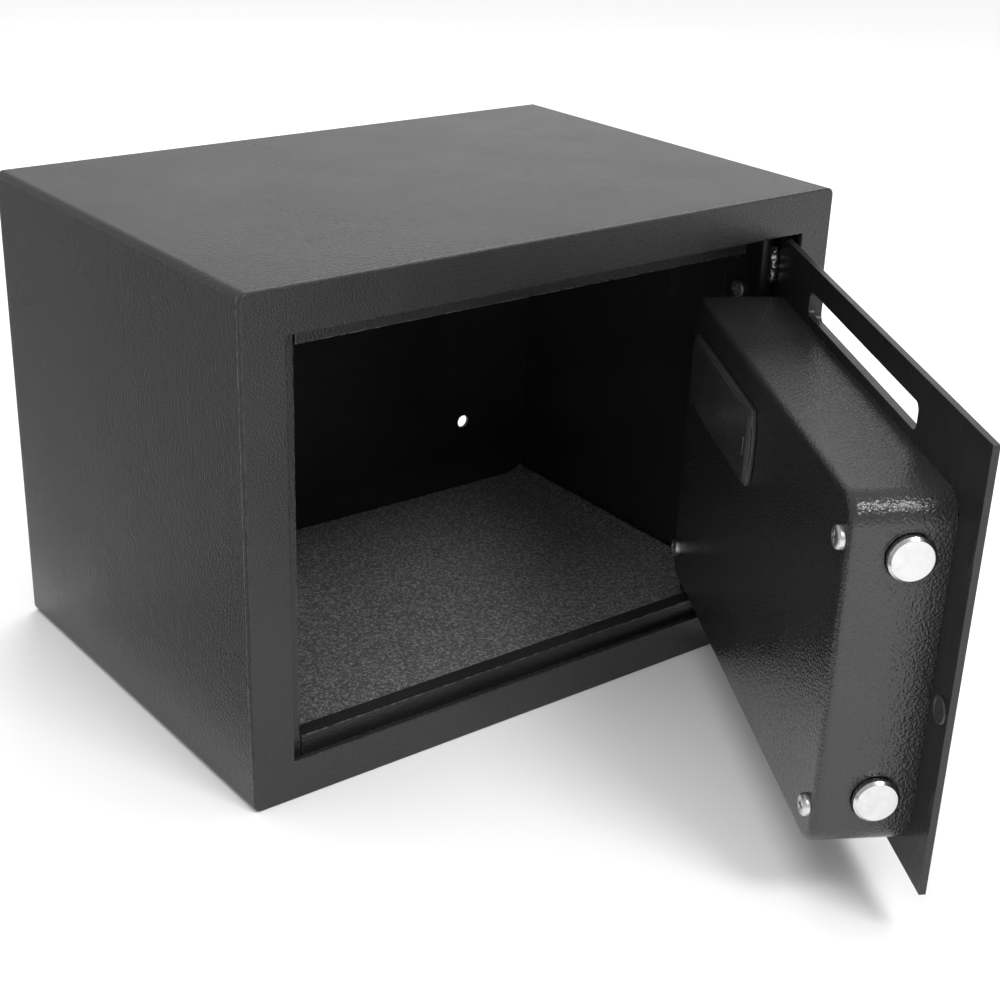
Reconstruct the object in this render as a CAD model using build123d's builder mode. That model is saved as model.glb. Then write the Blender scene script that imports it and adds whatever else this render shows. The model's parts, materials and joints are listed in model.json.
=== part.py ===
from build123d import *
import os
from math import cos, radians, sin

# A small depository safe: a folded steel body, a recessed door with a deposit slot, and the lock
# work behind the door in a drawn cover. Millimetres. The origin is the middle of the body's base,
# +Z is up, the door faces -Y and hangs at +X. The door is built standing open.

os.makedirs("parts", exist_ok=True)

# ---- Driving dimensions -------------------------------------------------------------------------
# Body
body_width = 350.0
body_depth = 245.0
body_height = 250.0
wrap_wall = 2.0
frame_wall = 3.0
back_wall = 2.0
bend_radius = 4.0
edge_break = 0.6
# Margins of the front frame round the door opening
margin_free = 22.0
margin_hinge = 20.0
margin_top = 21.5
margin_bottom = 20.5
# Door stops
stop_depth = 7.5
stop_inset = 7.3
stop_wall = 1.5
stop_return = 9.0
stop_end_gap = 1.2
stop_to_hinge = 17.0
# Anchor holes in the back panel
anchor_spacing = 246.0
anchor_height = 51.3
anchor_radius = 4.0
# Floor mat
mat_thickness = 3.0
mat_clearance = 0.6
# Door plate
door_open = 59.5
door_wall = 3.0
door_recess = 3.0
gap_side = 1.0
gap_level = 2.7
# Hinge axis, from the opening's hinge edge and from the plate's outer face
hinge_from_edge = 15.7
hinge_from_face = 19.55
rod_radius = 4.75
rod_inset = 8.8
rod_drop = 34.5
rod_overrun = 1.0
# The crank's two bends use nearly all of its reach
crank_share = 0.49
weld_leg = 4.5
weld_length = 20.0
weld_drop = 6.8
bracket_wall = 4.0
bracket_leg_wall = 3.0
bracket_rise = 12.2
bracket_leg = 64.0
bracket_width = 28.0
bracket_back_upper = 44.0
bracket_back_lower = 28.0
bracket_nose = 12.0
bracket_screw_drop = 55.5
bracket_screw_shift = 1.7
# Deposit slot
slot_length = 156.5
slot_height = 12.5
slot_corner = 4.0
slot_below_top = 18.55
surround_wall = 4.0
surround_rim = 5.0
surround_round = 1.3
surround_relief = 3.0
# Rear cover over the lock work
cover_width = 268.0
cover_height = 162.4
cover_depth = 43.5
cover_wall = 1.5
cover_corner = 12.0
cover_bend = 3.6
cover_above_plate_foot = 10.4
# Locking bolts
bolt_radius = 10.0
bolt_length = 66.0
bolt_tip = 4.0
bolt_chamfer = 1.2
bolt_spacing = 111.7
bolt_lift = 0.65
bolt_from_face = 20.5
bolt_throw = 18.0
bolt_hole_clearance = 0.5
guide_length = 14.0
guide_width = 30.0
guide_wall = 3.0
keeper_wall = 3.5
keeper_length = 150.0
keeper_lip = 1.3
# Bolt carriage
carriage_wall = 3.0
carriage_flat = 1.0
carriage_spine = 28.0
carriage_arm_drop = 17.5
carriage_arm_rise = 22.5
carriage_tail = 20.0
carriage_corner = 3.0
stud_radius = 4.0
stud_head = 6.5
stud_head_height = 2.0
stud_from_middle = [-56.0, 36.0]
stud_drop = 8.0
notch_depth = 6.0
# Knob, spindle and cam
knob_from_middle = 57.0
knob_radius = 19.0
knob_skirt = 23.0
knob_skirt_height = 4.0
knob_height = 22.0
knob_edge = 0.5
knob_flutes = 14
flute_radius = 2.6
spindle_radius = 4.0
spindle_out = 18.0
escutcheon_radius = 26.0
escutcheon_height = 5.0
escutcheon_chamfer = 1.7
cam_half_turn = 45.0
cam_pin_radius = 3.0
cam_pin_overrun = 1.5
cam_wall = 3.0
cam_boss_radius = 8.0
cam_to_carriage = 3.0
cam_slot_clearance = 0.7
# Keypad
keypad_width = 118.0
keypad_height = 92.0
keypad_depth = 11.0
keypad_wall = 2.0
keypad_from_middle = -49.0
keypad_corner = 8.0
keypad_bend = 1.6
key_width = 16.0
key_height = 12.0
key_depth = 6.0
key_pitch_x = 21.0
key_pitch_z = 18.0
key_travel = 1.5
key_clearance = 0.4
key_proud = 1.8
key_corner = 2.0
key_round = 0.7
key_lip = 1.0
key_block_shift = -17.0
key_block_drop = 7.0
key_names = ["1", "2", "3", "4", "5", "6", "7", "8", "9", "clear", "0", "enter"]
key_columns = 3
membrane_wall = 1.0
keypad_board_wall = 1.6
light_radius = 2.5
light_dome = 1.25
light_pitch = 14.0
light_below_top = 9.0
# Override lock
lock_radius = 9.0
lock_proud = 0.5
plug_radius = 5.5
lock_offset_x = 38.0
lock_drop = 4.0
lock_tail = 20.0
lock_cam_length = 16.0
lock_cam_width = 9.0
lock_cam_wall = 2.0
keyway_width = 1.8
keyway_height = 7.5
keyway_depth = 6.0
cap_radius = 12.0
cap_wall = 3.0
cap_round = 1.0
cap_pin_radius = 2.0
cap_pin_rise = 16.0
cap_lobe_radius = 5.0
# Solenoid
solenoid_width = 20.0
solenoid_height = 30.0
solenoid_depth = 19.0
solenoid_wall = 2.0
solenoid_lift = 8.0
solenoid_from_middle = -29.0
coil_radius = 7.5
plunger_radius = 3.0
plunger_head = 2.5
# Batteries
cell_radius = 7.15
cell_length = 50.5
tray_wall = 1.5
tray_length = 107.6
tray_height = 33.6
tray_depth = 16.8
tray_clearance = 0.2
contact_wall = 0.6
contact_nub = 3.0
panel_margin = 2.2
panel_rise = 3.7
panel_chamfer = 1.6
panel_from_middle = 57.7
panel_below_top = 35.3
# Screws
screw_radius = 2.5
screw_head = 5.0
screw_head_height = 3.0
screw_head_round = 1.6
screw_length = 8.0
recess_width = 1.2
recess_length = 5.6
recess_depth = 1.6
screw_inset_free = 7.4
screw_inset_hinge = 10.1
screw_inset_top = 19.0
screw_inset_foot = 19.0
post_radius = 4.5
# Electronics
board_width = 52.0
board_height = 48.0
board_wall = 1.6
board_standoff = 6.0
board_from_middle = 19.0
board_below_drive = 49.5
chip_size = 12.0
chip_height = 2.5
socket_width = 8.0
socket_height = 6.0
buzzer_radius = 6.0
lead_radius = 1.5
lead_bend = 5.0
lead_run = 12.0
lead_hole_shift = 24.0
lead_hole_clearance = 1.0
# Clearances
touch_gap = 0.3
running_gap = 0.05

# ---- Places worked out from the driving dimensions ----------------------------------------------
front = -body_depth / 2
back = body_depth / 2
open_left = -body_width / 2 + margin_free
open_right = body_width / 2 - margin_hinge
open_low = margin_bottom
open_high = body_height - margin_top
inner_side = body_width / 2 - wrap_wall
inner_low = wrap_wall
inner_high = body_height - wrap_wall
stop_front = front + stop_depth

plate_left = open_left + gap_side
plate_right = open_right - gap_side
plate_low = open_low + gap_level
plate_high = open_high - gap_level
plate_middle_x = (plate_left + plate_right) / 2
plate_middle_z = (plate_low + plate_high) / 2
plate_width = plate_right - plate_left
plate_height = plate_high - plate_low
plate_face = front + door_recess
plate_back = plate_face + door_wall

hinge_x = open_right - hinge_from_edge
hinge_y = plate_face + hinge_from_face

cover_low = plate_low + cover_above_plate_foot
cover_high = cover_low + cover_height
cover_middle_z = (cover_low + cover_high) / 2
cover_left = plate_middle_x - cover_width / 2
cover_right = plate_middle_x + cover_width / 2
cover_back = plate_back + cover_depth

bolt_y = plate_face + bolt_from_face
drive_z = cover_middle_z + bolt_lift
bolt_z = [drive_z + bolt_spacing / 2, drive_z - bolt_spacing / 2]
bolt_outer = cover_left - bolt_tip
bolt_inner = bolt_outer + bolt_length
knob_x = plate_middle_x + knob_from_middle
cam_reach = bolt_throw / (2 * sin(radians(cam_half_turn)))
carriage_front = bolt_y + bolt_radius - carriage_flat
carriage_back = carriage_front + carriage_wall
cam_back = carriage_front - cam_to_carriage
cam_front = cam_back - cam_wall
slot_x = plate_middle_x
slot_z = plate_high - slot_below_top
keypad_x = plate_middle_x + keypad_from_middle
keypad_face = plate_face - keypad_depth
lock_x = keypad_x + lock_offset_x
lock_z = drive_z - lock_drop
lock_back = plate_back + lock_tail
panel_x = plate_middle_x + panel_from_middle
panel_z = cover_high - panel_below_top
solenoid_x = plate_middle_x + solenoid_from_middle
board_x = plate_middle_x + board_from_middle
board_z = drive_z - board_below_drive


# ---- Planes -------------------------------------------------------------------------------------
cabinet = Plane.XY
swing = Pos(hinge_x, hinge_y, 0) * Rot(0, 0, door_open) * Pos(-hinge_x, -hinge_y, 0)
# Local coordinates on this plane are those of the closed door, so all door parts are drawn closed.
door = Plane(swing)


def facing(depth, frame=cabinet):
    """A plane across the front at a depth: x to the hinge side, y up, normal to the room."""
    return Plane(
        origin=frame.from_local_coords((0, depth, 0)), x_dir=frame.x_dir, z_dir=-frame.y_dir
    )


def crossing(x, frame=cabinet):
    """A plane across the width at x: its x runs to the back, its y up, normal to the hinge side."""
    return Plane(origin=frame.from_local_coords((x, 0, 0)), x_dir=frame.y_dir, z_dir=frame.x_dir)


def along(direction, frame=cabinet):
    """A sorting axis through the frame's origin."""
    return Axis(frame.origin, direction)


def save(piece, name):
    """Label a finished part and write it."""
    piece.part.label = name
    export_step(piece.part, "parts/" + name + ".step")


# ---- Body ---------------------------------------------------------------------------------------
with BuildPart() as body_wrap:
    with BuildSketch(facing(front + frame_wall)):
        with Locations((0, body_height / 2)):
            RectangleRounded(body_width, body_height, bend_radius)
            RectangleRounded(
                body_width - 2 * wrap_wall,
                body_height - 2 * wrap_wall,
                bend_radius - wrap_wall,
                mode=Mode.SUBTRACT,
            )
    extrude(amount=-(body_depth - frame_wall - back_wall))
save(body_wrap, "body_wrap")

with BuildPart() as back_panel:
    with BuildSketch(facing(back - back_wall)):
        with Locations((0, body_height / 2)):
            RectangleRounded(body_width, body_height, bend_radius)
        with Locations((-anchor_spacing / 2, anchor_height), (anchor_spacing / 2, anchor_height)):
            Circle(anchor_radius, mode=Mode.SUBTRACT)
    extrude(amount=-back_wall)
    outline = back_panel.faces().sort_by(Axis.Y)[-1].outer_wire().edges()
    fillet(outline, edge_break)
save(back_panel, "back_panel")

with BuildPart() as front_frame:
    with BuildSketch(facing(front)):
        with Locations((0, body_height / 2)):
            RectangleRounded(body_width, body_height, bend_radius)
        with Locations(((open_left + open_right) / 2, (open_low + open_high) / 2)):
            Rectangle(open_right - open_left, open_high - open_low, mode=Mode.SUBTRACT)
    extrude(amount=-frame_wall)
    fillet(front_frame.faces().sort_by(Axis.Y)[0].edges(), edge_break)
save(front_frame, "front_frame")


# ---- Door stops: strips welded inside the body, behind the opening -----------------------------
with BuildPart() as free_stop:
    with BuildSketch(facing(stop_front)):
        with Locations((-inner_side, inner_low + bend_radius)):
            Rectangle(
                inner_side + open_left + stop_inset,
                inner_high - inner_low - 2 * bend_radius,
                align=(Align.MIN, Align.MIN),
            )
    extrude(amount=-stop_wall)
save(free_stop, "free_side_stop")


def level_stop(edge, wall_line):
    """An angle strip: a leg from the body's wall to the edge, and a return to the back."""
    inward = 1 if wall_line > edge else -1
    left = open_left + stop_inset + stop_end_gap
    length = hinge_x - stop_to_hinge - left
    with BuildPart() as strip:
        with BuildSketch(facing(stop_front)):
            with Locations((left + length / 2, (edge + wall_line) / 2)):
                Rectangle(length, abs(wall_line - edge))
        extrude(amount=-stop_wall)
        with BuildSketch(facing(stop_front + stop_wall)):
            with Locations((left + length / 2, edge + inward * stop_wall / 2)):
                Rectangle(length, stop_wall)
        extrude(amount=-(stop_return - stop_wall))
    return strip


save(level_stop(open_high - stop_inset, inner_high), "top_stop")
save(level_stop(open_low + stop_inset, inner_low), "bottom_stop")

with BuildPart() as bolt_keeper:
    with BuildSketch(facing(stop_front + stop_wall)):
        with Locations((-inner_side, drive_z)):
            Rectangle(
                inner_side + open_left + stop_inset - keeper_lip,
                keeper_length,
                align=(Align.MIN, Align.CENTER),
            )
    extrude(amount=-keeper_wall)
save(bolt_keeper, "bolt_keeper")

with BuildPart() as floor_mat:
    mat_front = stop_front + stop_return + mat_clearance
    mat_back = back - back_wall - mat_clearance
    mat_half = inner_side - (bend_radius - wrap_wall)
    with BuildSketch(cabinet.offset(inner_low)):
        with Locations((0, (mat_front + mat_back) / 2)):
            Rectangle(2 * mat_half, mat_back - mat_front)
    extrude(amount=mat_thickness)
save(floor_mat, "floor_mat")


# ---- Hinge brackets on the body, and the cranked rods on the door ------------------------------
bracket_level = [plate_high + bracket_rise, plate_low - bracket_rise]
bracket_reach = [bracket_back_upper, bracket_back_lower]
bracket_screw_back = bracket_screw_shift - bracket_width / 2
bracket_screw_y = [hinge_y + reach + bracket_screw_back for reach in bracket_reach]
bracket_screw_z = [bracket_level[0] - bracket_screw_drop, bracket_level[1] + bracket_screw_drop]


def hinge_bracket(seat, reach, upward):
    """An angle bracket on the hinge-side wall: a level leg with the bore, and a leg on the wall."""
    with BuildPart() as bracket:
        with BuildSketch(cabinet.offset(seat)):
            with Locations((hinge_x, hinge_y)):
                Circle(bracket_nose)
            with Locations((hinge_x, hinge_y - bracket_nose)):
                Rectangle(
                    inner_side - hinge_x,
                    bracket_nose + reach,
                    align=(Align.MIN, Align.MIN),
                )
            with Locations((hinge_x, hinge_y)):
                Circle(rod_radius + running_gap, mode=Mode.SUBTRACT)
        extrude(amount=upward * bracket_wall)
        with BuildSketch(crossing(inner_side)):
            with Locations((hinge_y + reach, seat)):
                Rectangle(
                    bracket_width,
                    bracket_leg,
                    align=(Align.MAX, Align.MAX if upward > 0 else Align.MIN),
                )
        extrude(amount=-bracket_leg_wall)
        with BuildSketch(crossing(inner_side)):
            screw_y = hinge_y + reach + bracket_screw_back
            with Locations((screw_y, seat - upward * bracket_screw_drop)):
                Circle(screw_radius + running_gap)
        extrude(amount=-bracket_leg_wall, mode=Mode.SUBTRACT)
    return bracket


save(hinge_bracket(bracket_level[0], bracket_reach[0], 1), "upper_hinge_bracket")
save(hinge_bracket(bracket_level[1], bracket_reach[1], -1), "lower_hinge_bracket")


def pan_screws(seat, places, shank):
    """Pan-head screws: their heads' undersides lie on the plane, their shanks run behind it."""
    outward = Axis(seat.origin, seat.z_dir)
    with BuildPart() as screws:
        with BuildSketch(seat):
            with Locations(*places):
                Circle(screw_head)
        extrude(amount=screw_head_height)
        rims = screws.edges().filter_by(GeomType.CIRCLE).group_by(outward)[-1]
        fillet(rims, screw_head_round)
        with BuildSketch(seat):
            with Locations(*places):
                Circle(screw_radius)
        extrude(amount=-shank)
        with BuildSketch(seat.offset(screw_head_height - recess_depth)):
            with Locations(*places):
                Rectangle(recess_length, recess_width)
                Rectangle(recess_width, recess_length)
        extrude(amount=recess_depth, mode=Mode.SUBTRACT)
    return screws


bracket_screw_seat = Plane(
    origin=(inner_side - bracket_leg_wall, 0, 0), x_dir=(0, -1, 0), z_dir=(-1, 0, 0)
)
bracket_screw_places = [(-y, height) for y, height in zip(bracket_screw_y, bracket_screw_z)]
save(pan_screws(bracket_screw_seat, bracket_screw_places, bracket_leg_wall), "hinge_bracket_screws")

rod_x = plate_right - rod_inset
rod_y = plate_back + rod_radius + running_gap
crank_reach = ((rod_x - hinge_x) ** 2 + (rod_y - hinge_y) ** 2) ** 0.5
crank_bend = crank_share * crank_reach


def hinge_rod(edge, seat, upward):
    """A round rod on the door plate, cranked back to the hinge axis and up into its bracket."""
    arm = seat - upward * (crank_bend + touch_gap)
    ends = [edge - upward * rod_drop, seat + upward * (bracket_wall + rod_overrun)]
    route = [
        (rod_x, rod_y, ends[0]),
        (rod_x, rod_y, arm),
        (hinge_x, hinge_y, arm),
        (hinge_x, hinge_y, ends[1]),
    ]
    with BuildPart() as rod:
        with BuildLine() as path:
            FilletPolyline(*[door.from_local_coords(point) for point in route], radius=crank_bend)
        with BuildSketch(Plane(origin=path.line @ 0, z_dir=path.line % 0)):
            Circle(rod_radius)
        sweep()
    return rod


save(hinge_rod(plate_high, bracket_level[0], 1), "upper_hinge_rod")
save(hinge_rod(plate_low, bracket_level[1], -1), "lower_hinge_rod")

with BuildPart() as hinge_welds:
    weld_x = rod_x - rod_radius - running_gap
    for weld_low in (plate_high - weld_drop - weld_length, plate_low + weld_drop):
        with BuildSketch(door.offset(weld_low)):
            with BuildLine():
                Polyline(
                    (weld_x, plate_back),
                    (weld_x - weld_leg, plate_back),
                    (weld_x, plate_back + weld_leg),
                    close=True,
                )
            make_face()
        extrude(amount=weld_length)
save(hinge_welds, "hinge_welds")


# ---- Door plate and the deposit slot's surround -------------------------------------------------
lead_hole = (keypad_x - key_block_shift - lead_hole_shift, board_z)

with BuildPart() as door_plate:
    with BuildSketch(facing(plate_face, door)):
        with Locations((plate_middle_x, plate_middle_z)):
            Rectangle(plate_width, plate_height)
        with Locations((slot_x, slot_z)):
            RectangleRounded(slot_length, slot_height, slot_corner, mode=Mode.SUBTRACT)
        with Locations((knob_x, drive_z)):
            Circle(spindle_radius + running_gap, mode=Mode.SUBTRACT)
        with Locations((lock_x, lock_z)):
            Circle(lock_radius + running_gap, mode=Mode.SUBTRACT)
        with Locations(lead_hole):
            Circle(lead_radius + lead_hole_clearance, mode=Mode.SUBTRACT)
    extrude(amount=-door_wall)
save(door_plate, "door_plate")

with BuildPart() as slot_surround:
    with BuildSketch(facing(plate_face, door)):
        with Locations((slot_x, slot_z)):
            RectangleRounded(
                slot_length + 2 * surround_rim,
                slot_height + 2 * (surround_relief + surround_rim),
                surround_rim,
            )
            RectangleRounded(
                slot_length,
                slot_height + 2 * surround_relief,
                slot_corner,
                mode=Mode.SUBTRACT,
            )
    extrude(amount=surround_wall)
    surround_front = slot_surround.faces().sort_by(along(door.y_dir, door))[0]
    fillet(surround_front.outer_wire().edges(), surround_round)
save(slot_surround, "slot_surround")


# ---- Rear cover over the lock work --------------------------------------------------------------
screw_places = [
    (cover_left + screw_inset_free, cover_high - screw_inset_top),
    (cover_left + screw_inset_free, cover_low + screw_inset_foot),
    (cover_right - screw_inset_hinge, cover_low + screw_inset_foot),
]

with BuildPart() as lock_cover:
    with BuildSketch(facing(plate_back, door)):
        with Locations(((cover_left + cover_right) / 2, cover_middle_z)):
            RectangleRounded(cover_width, cover_height, cover_corner)
    extrude(amount=-cover_depth)
    inward = along(door.y_dir, door)
    fillet(lock_cover.faces().sort_by(inward)[-1].edges(), cover_bend)
    offset(amount=-cover_wall, openings=lock_cover.faces().sort_by(inward)[0])
    with BuildSketch(facing(cover_back, door)):
        with Locations((panel_x, panel_z)):
            Rectangle(tray_length + 2 * tray_clearance, tray_height + 2 * tray_clearance)
        with Locations(*screw_places):
            Circle(screw_radius + running_gap)
    extrude(amount=2 * cover_wall, mode=Mode.SUBTRACT)
    with BuildSketch(crossing(cover_left, door)):
        with Locations(*[(bolt_y, height) for height in bolt_z]):
            Circle(bolt_radius + bolt_hole_clearance)
    extrude(amount=2 * cover_wall, mode=Mode.SUBTRACT)
save(lock_cover, "lock_cover")

screw_seat = Plane(
    origin=door.from_local_coords((0, cover_back, 0)), x_dir=-door.x_dir, z_dir=door.y_dir
)
cover_screw_places = [(-place[0], place[1]) for place in screw_places]
save(pan_screws(screw_seat, cover_screw_places, screw_length), "cover_screws")


# ---- Bolt guides and the posts on the door plate -----------------------------------------------
guide_left = cover_left + cover_bend + touch_gap
guide_back = cover_back - cover_wall


def bolt_guide(height, screw_height):
    """A channel bracket between plate and cover, its web bored for the bolt."""
    with BuildPart() as guide:
        with BuildSketch(door.offset(height - guide_width / 2)):
            with Locations((guide_left, plate_back)):
                Rectangle(guide_wall, guide_back - plate_back, align=(Align.MIN, Align.MIN))
                Rectangle(guide_length, guide_wall, align=(Align.MIN, Align.MIN))
            with Locations((guide_left, guide_back)):
                Rectangle(guide_length, guide_wall, align=(Align.MIN, Align.MAX))
        extrude(amount=guide_width)
        with BuildSketch(crossing(guide_left, door)):
            with Locations((bolt_y, height)):
                Circle(bolt_radius + running_gap)
        extrude(amount=guide_wall, mode=Mode.SUBTRACT)
        with BuildSketch(facing(guide_back, door)):
            with Locations((screw_places[0][0], screw_height)):
                Circle(screw_radius + running_gap)
        extrude(amount=screw_length, mode=Mode.SUBTRACT)
    return guide


save(bolt_guide(bolt_z[0], screw_places[0][1]), "upper_bolt_guide")
save(bolt_guide(bolt_z[1], screw_places[1][1]), "lower_bolt_guide")

stud_places = [(plate_middle_x + shift, drive_z - stud_drop) for shift in stud_from_middle]

with BuildPart() as door_posts:
    with BuildSketch(facing(plate_back, door)):
        with Locations(screw_places[2]):
            Circle(post_radius)
            Circle(screw_radius + running_gap, mode=Mode.SUBTRACT)
    extrude(amount=-(guide_back - plate_back))
    with BuildSketch(facing(plate_back, door)):
        with Locations(*stud_places):
            Circle(stud_radius)
    extrude(amount=-(carriage_back + touch_gap - plate_back))
    with BuildSketch(facing(carriage_back + touch_gap, door)):
        with Locations(*stud_places):
            Circle(stud_head)
    extrude(amount=-stud_head_height)
save(door_posts, "door_posts")


# ---- Locking bolts, carriage and its screws -----------------------------------------------------
spine_left = bolt_inner - carriage_spine
arm_end = knob_x + carriage_tail


def locking_bolt(height):
    """A round bolt with a chamfered tip and a flat for the carriage."""
    with BuildPart() as bolt:
        with BuildSketch(crossing(bolt_outer, door)):
            with Locations((bolt_y, height)):
                Circle(bolt_radius)
        extrude(amount=bolt_length)
        tip = bolt.faces().sort_by(along(door.x_dir, door))[0]
        chamfer(tip.edges(), bolt_chamfer)
        with BuildSketch(facing(carriage_front, door)):
            with Locations((bolt_inner, height)):
                Rectangle(carriage_spine, 2 * bolt_radius, align=(Align.MAX, Align.CENTER))
        extrude(amount=-carriage_flat, mode=Mode.SUBTRACT)
    return bolt


save(locking_bolt(bolt_z[0]), "upper_bolt")
save(locking_bolt(bolt_z[1]), "lower_bolt")

pin_shift = cam_reach * sin(radians(cam_half_turn))
pin_low = cam_reach * cos(radians(cam_half_turn))
notch_x = solenoid_x + bolt_throw

with BuildPart() as bolt_carriage:
    with BuildSketch(facing(carriage_front, door)) as carriage_outline:
        with Locations((spine_left, drive_z)):
            Rectangle(
                carriage_spine,
                bolt_spacing + 2 * bolt_radius,
                align=(Align.MIN, Align.CENTER),
            )
        with Locations((spine_left, drive_z - carriage_arm_drop)):
            Rectangle(
                arm_end - spine_left,
                carriage_arm_drop + carriage_arm_rise,
                align=(Align.MIN, Align.MIN),
            )
        fillet(carriage_outline.vertices(), carriage_corner)
        with Locations((knob_x + pin_shift, drive_z + (pin_low + cam_reach) / 2)):
            SlotCenterToCenter(
                cam_reach - pin_low,
                2 * (cam_pin_radius + cam_slot_clearance),
                rotation=90,
                mode=Mode.SUBTRACT,
            )
        with Locations(*[(place[0] + bolt_throw / 2, place[1]) for place in stud_places]):
            SlotCenterToCenter(bolt_throw, 2 * (stud_radius + touch_gap), mode=Mode.SUBTRACT)
        with Locations((notch_x, drive_z + carriage_arm_rise)):
            Rectangle(
                2 * (plunger_radius + touch_gap),
                2 * notch_depth,
                mode=Mode.SUBTRACT,
            )
        with Locations(*[(spine_left + carriage_spine / 2, height) for height in bolt_z]):
            Circle(screw_radius + running_gap, mode=Mode.SUBTRACT)
    extrude(amount=-carriage_wall)
save(bolt_carriage, "bolt_carriage")

carriage_screw_seat = Plane(
    origin=door.from_local_coords((0, carriage_back, 0)), x_dir=-door.x_dir, z_dir=door.y_dir
)
carriage_screw_places = [(-(spine_left + carriage_spine / 2), height) for height in bolt_z]
save(pan_screws(carriage_screw_seat, carriage_screw_places, carriage_wall), "carriage_screws")


# ---- Knob, spindle and cam ----------------------------------------------------------------------
escutcheon_face = plate_face - escutcheon_height
knob_back = escutcheon_face - touch_gap

with BuildPart() as escutcheon:
    with BuildSketch(facing(plate_face, door)):
        with Locations((knob_x, drive_z)):
            Circle(escutcheon_radius)
            Circle(spindle_radius + running_gap, mode=Mode.SUBTRACT)
    extrude(amount=escutcheon_height)
    escutcheon_front = escutcheon.faces().sort_by(along(door.y_dir, door))[0]
    chamfer(escutcheon_front.outer_wire().edges(), escutcheon_chamfer)
save(escutcheon, "escutcheon")

with BuildPart() as knob:
    with BuildSketch(facing(knob_back, door)):
        with Locations((knob_x, drive_z)):
            Circle(knob_skirt)
    extrude(amount=knob_skirt_height)
    with BuildSketch(facing(knob_back - knob_skirt_height, door)):
        with Locations((knob_x, drive_z)):
            Circle(knob_radius)
            with PolarLocations(knob_radius + flute_radius / 2, knob_flutes):
                Circle(flute_radius, mode=Mode.SUBTRACT)
    extrude(amount=knob_height - knob_skirt_height)
    knob_face = knob.faces().sort_by(along(door.y_dir, door))[0]
    chamfer(knob_face.edges(), knob_edge)
    with BuildSketch(facing(knob_back, door)):
        with Locations((knob_x, drive_z)):
            Circle(spindle_radius + running_gap)
    extrude(amount=spindle_out, mode=Mode.SUBTRACT)
save(knob, "knob")

with BuildPart() as spindle:
    with BuildSketch(facing(knob_back - spindle_out + touch_gap, door)):
        with Locations((knob_x, drive_z)):
            Circle(spindle_radius)
    extrude(amount=-(cam_front - knob_back + spindle_out - touch_gap))
save(spindle, "knob_spindle")

with BuildPart() as knob_cam:
    with BuildSketch(facing(cam_front, door)):
        with Locations((knob_x, drive_z)):
            Circle(cam_boss_radius)
        with Locations((knob_x + pin_shift, drive_z + pin_low)):
            Circle(2 * cam_pin_radius)
        make_hull()
    extrude(amount=-cam_wall)
    with BuildSketch(facing(cam_back, door)):
        with Locations((knob_x + pin_shift, drive_z + pin_low)):
            Circle(cam_pin_radius)
    extrude(amount=-(carriage_back + cam_pin_overrun - cam_back))
save(knob_cam, "knob_cam")


# ---- Keypad -------------------------------------------------------------------------------------
key_rows = len(key_names) // key_columns
key_back = keypad_face - key_proud + key_depth
membrane_front = key_back + key_travel + touch_gap
keypad_board_front = membrane_front + membrane_wall
block_x = keypad_x + key_block_shift
block_z = drive_z - key_block_drop
light_z = drive_z + keypad_height / 2 - light_below_top
light_places = [(block_x + step * light_pitch, light_z) for step in (-1, 0, 1)]
cap_pin_z = lock_z + cap_pin_rise


def key_place(index):
    """The middle of a key in the pad, counted along the rows from the top."""
    column = index % key_columns - (key_columns - 1) / 2
    row = index // key_columns - (key_rows - 1) / 2
    return (block_x + column * key_pitch_x, block_z - row * key_pitch_z)


key_places = [key_place(index) for index in range(len(key_names))]

with BuildPart() as keypad_housing:
    with BuildSketch(facing(plate_face, door)):
        with Locations((keypad_x, drive_z)):
            RectangleRounded(keypad_width, keypad_height, keypad_corner)
    extrude(amount=keypad_depth)
    outward = along(door.y_dir, door)
    fillet(keypad_housing.faces().sort_by(outward)[0].edges(), keypad_bend)
    with BuildSketch(facing(plate_face, door)):
        with Locations((keypad_x, drive_z)):
            RectangleRounded(
                keypad_width - 2 * keypad_wall,
                keypad_height - 2 * keypad_wall,
                keypad_corner - keypad_wall,
            )
    extrude(amount=keypad_depth - keypad_wall, mode=Mode.SUBTRACT)
    with BuildSketch(facing(keypad_face, door)):
        with Locations(*key_places):
            RectangleRounded(
                key_width + 2 * key_clearance,
                key_height + 2 * key_clearance,
                key_corner + key_clearance,
            )
        with Locations(*light_places):
            Circle(light_radius + running_gap)
        with Locations((lock_x, lock_z)):
            Circle(lock_radius + running_gap)
    extrude(amount=-keypad_depth, mode=Mode.SUBTRACT)
    with BuildSketch(facing(keypad_face + keypad_wall, door)):
        with Locations((lock_x, cap_pin_z)):
            Circle(cap_pin_radius)
    extrude(amount=keypad_wall + lock_proud + touch_gap + cap_wall)
save(keypad_housing, "keypad_housing")

for name, place in zip(key_names, key_places):
    with BuildPart() as key:
        with BuildSketch(facing(key_back, door)):
            with Locations(place):
                RectangleRounded(key_width, key_height, key_corner)
        extrude(amount=key_depth)
        key_face = key.faces().sort_by(along(door.y_dir, door))[0]
        fillet(key_face.edges(), key_round)
        with BuildSketch(facing(key_back, door)):
            with Locations(place):
                RectangleRounded(
                    key_width + 2 * key_lip, key_height + 2 * key_lip, key_corner + key_lip
                )
        extrude(amount=key_lip)
    save(key, "key_" + name)

with BuildPart() as keypad_membrane:
    with BuildSketch(facing(membrane_front + membrane_wall, door)):
        with Locations((block_x, block_z)):
            RectangleRounded(
                key_pitch_x * key_columns, key_pitch_z * key_rows, key_corner
            )
    extrude(amount=membrane_wall)
save(keypad_membrane, "keypad_membrane")

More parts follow.
